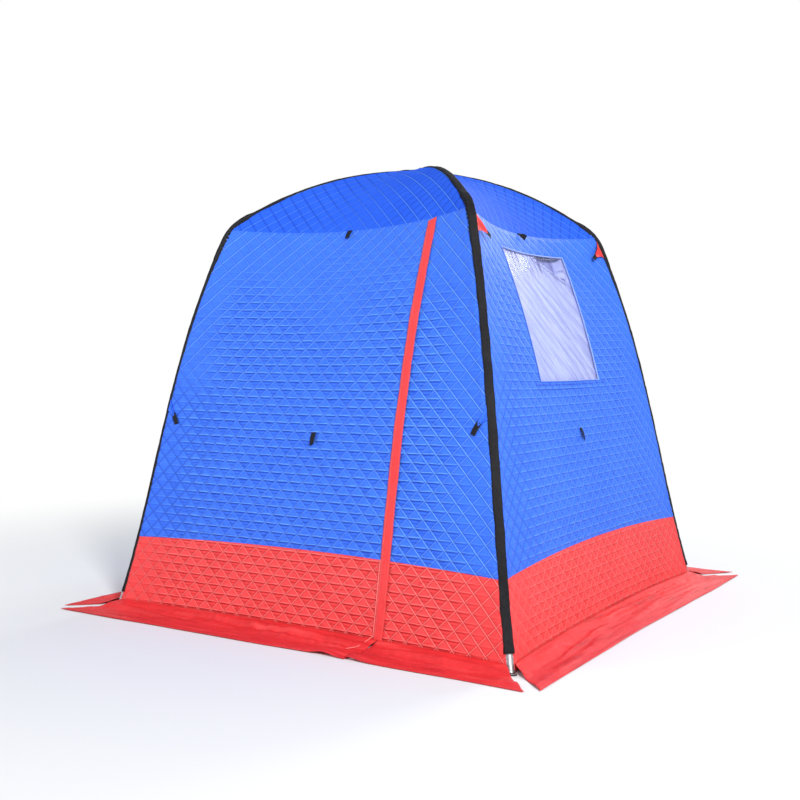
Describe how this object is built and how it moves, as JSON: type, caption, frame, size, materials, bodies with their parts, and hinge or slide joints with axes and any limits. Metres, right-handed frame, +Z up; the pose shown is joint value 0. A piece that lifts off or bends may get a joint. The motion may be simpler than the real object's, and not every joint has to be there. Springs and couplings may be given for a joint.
{
  "type": "ice fishing hut",
  "caption": "Square pop-up ice fishing tent of quilted fabric over four curved corner poles, with a zipped doorway, side windows, a domed roof and a ground skirt; open to the ice below.",
  "frame": {"origin": "on the ice, straight under the centre of the crown", "axes": "+Z up; the front wall with the zipped doorway faces -Y; the windowed sides face -X and +X"},
  "size_m": [2.38, 2.38, 2.0536],
  "materials": {
    "black_plastic": "moulded, satin",
    "fibreglass": "pultruded fibreglass rod, satin",
    "leg_tube": "fibreglass tube, satin",
    "elbow_metal": "cast, satin",
    "galvanised_steel": "zinc plated, semi-gloss",
    "black_fabric": "coated woven polyester",
    "blue_quilt": "quilted polyester over wadding, slightly glossy",
    "roof_quilt": "quilted polyester over wadding, slightly glossy",
    "red_quilt": "quilted polyester over wadding, slightly glossy",
    "red_skirt": "plain coated woven polyester",
    "red_flap": "plain coated woven polyester",
    "zip_tape": "coil zip on woven tape",
    "clear_vinyl": "clear flexible vinyl sheet",
    "silver_quilt": "silvered quilted lining",
    "red_gusset": "plain coated woven polyester",
    "blue_gusset": "plain coated woven polyester",
    "black_webbing": "woven webbing",
    "strap_webbing": "woven webbing",
    "eyelet_metal": "nickel plated"
  },
  "bodies": {
    "root": {"crown_hub": "black_plastic", "roof_rod_front_right": "fibreglass", "roof_rod_back_right": "fibreglass", "roof_rod_back_left": "fibreglass", "roof_rod_front_left": "fibreglass", "leg_pole_front_right": "leg_tube", "leg_pole_back_right": "leg_tube", "leg_pole_back_left": "leg_tube", "leg_pole_front_left": "leg_tube", "shoulder_elbows": "elbow_metal", "foot_ferrules": "galvanised_steel", "pole_sleeve_front_right": "black_fabric", "pole_sleeve_back_right": "black_fabric", "pole_sleeve_back_left": "black_fabric", "pole_sleeve_front_left": "black_fabric", "front_wall_left": "blue_quilt", "front_wall_right": "blue_quilt", "back_wall": "blue_quilt", "left_wall": "blue_quilt", "right_wall": "blue_quilt", "roof_gore_front": "roof_quilt", "roof_gore_back": "roof_quilt", "roof_gore_left": "roof_quilt", "roof_gore_right": "roof_quilt", "front_band_left": "red_quilt", "front_band_right": "red_quilt", "back_band": "red_quilt", "left_band": "red_quilt", "right_band": "red_quilt", "front_skirt_left": "red_skirt", "front_skirt_right": "red_skirt", "back_skirt": "red_skirt", "left_skirt": "red_skirt", "right_skirt": "red_skirt", "storm_flap": "red_flap", "door_zip": "zip_tape", "window_pane_left": "clear_vinyl", "window_pane_right": "clear_vinyl", "window_curtain_left": "silver_quilt", "window_curtain_right": "silver_quilt", "shoulder_gussets": "red_gusset", "pole_gussets": "blue_gusset", "webbing_tabs": "black_webbing", "foot_straps": "strap_webbing", "strap_eyelets": "eyelet_metal"}
  },
  "joints": []
}
